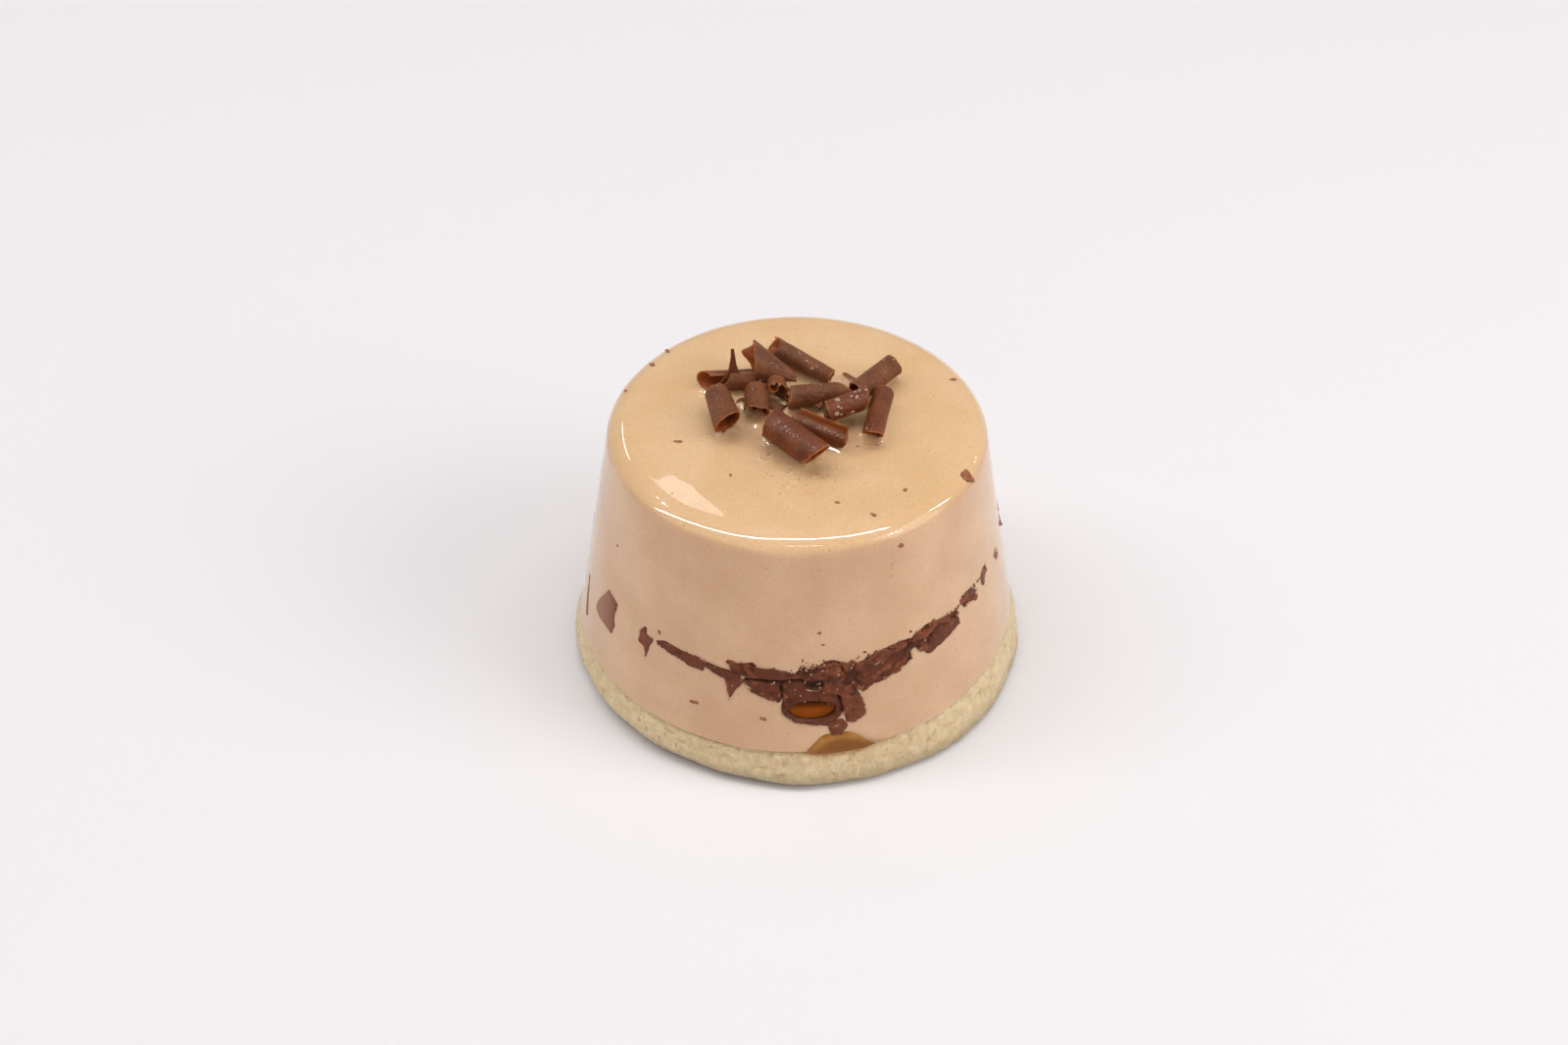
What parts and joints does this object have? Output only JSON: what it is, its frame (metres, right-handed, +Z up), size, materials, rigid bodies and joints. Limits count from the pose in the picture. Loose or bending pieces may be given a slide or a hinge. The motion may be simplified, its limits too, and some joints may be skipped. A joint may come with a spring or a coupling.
{
  "type": "chocolate mousse cake",
  "caption": "Small round chocolate mousse cake with sloping sides on a sponge base, a chocolate layer showing at the side and chocolate curls on top.",
  "frame": {"origin": "middle of the flat underside of the sponge", "axes": "+Z up along the axis of the round cake, -Y towards the front, where the caramel shows, +X to the right"},
  "size_m": [0.0712, 0.0708, 0.0521],
  "materials": {
    "mousse": "smooth mousse under a thin clear glaze, fine dark specks",
    "sponge": "pale open-pored sponge, damp and dark at its foot",
    "layer_chocolate": "broken chocolate under a thin glaze",
    "caramel": "glossy amber caramel",
    "curl_chocolate": "satin milk chocolate with fine shaving ridges and paler thin edges",
    "glaze": "clear neutral glaze"
  },
  "bodies": {
    "root": {"sponge_base": "sponge", "mousse": "mousse", "chocolate_layer": "layer_chocolate", "caramel_filling": "caramel", "curl_front": "curl_chocolate", "curl_front_scroll": "curl_chocolate", "curl_left_front": "curl_chocolate", "curl_spiked": "curl_chocolate", "curl_cone": "curl_chocolate", "curl_back": "curl_chocolate", "curl_barrel": "curl_chocolate", "curl_tight_scroll": "curl_chocolate", "curl_middle_right": "curl_chocolate", "curl_right_back": "curl_chocolate", "curl_dewy": "curl_chocolate", "curl_right_front": "curl_chocolate", "curl_splinter": "curl_chocolate"}
  },
  "joints": []
}
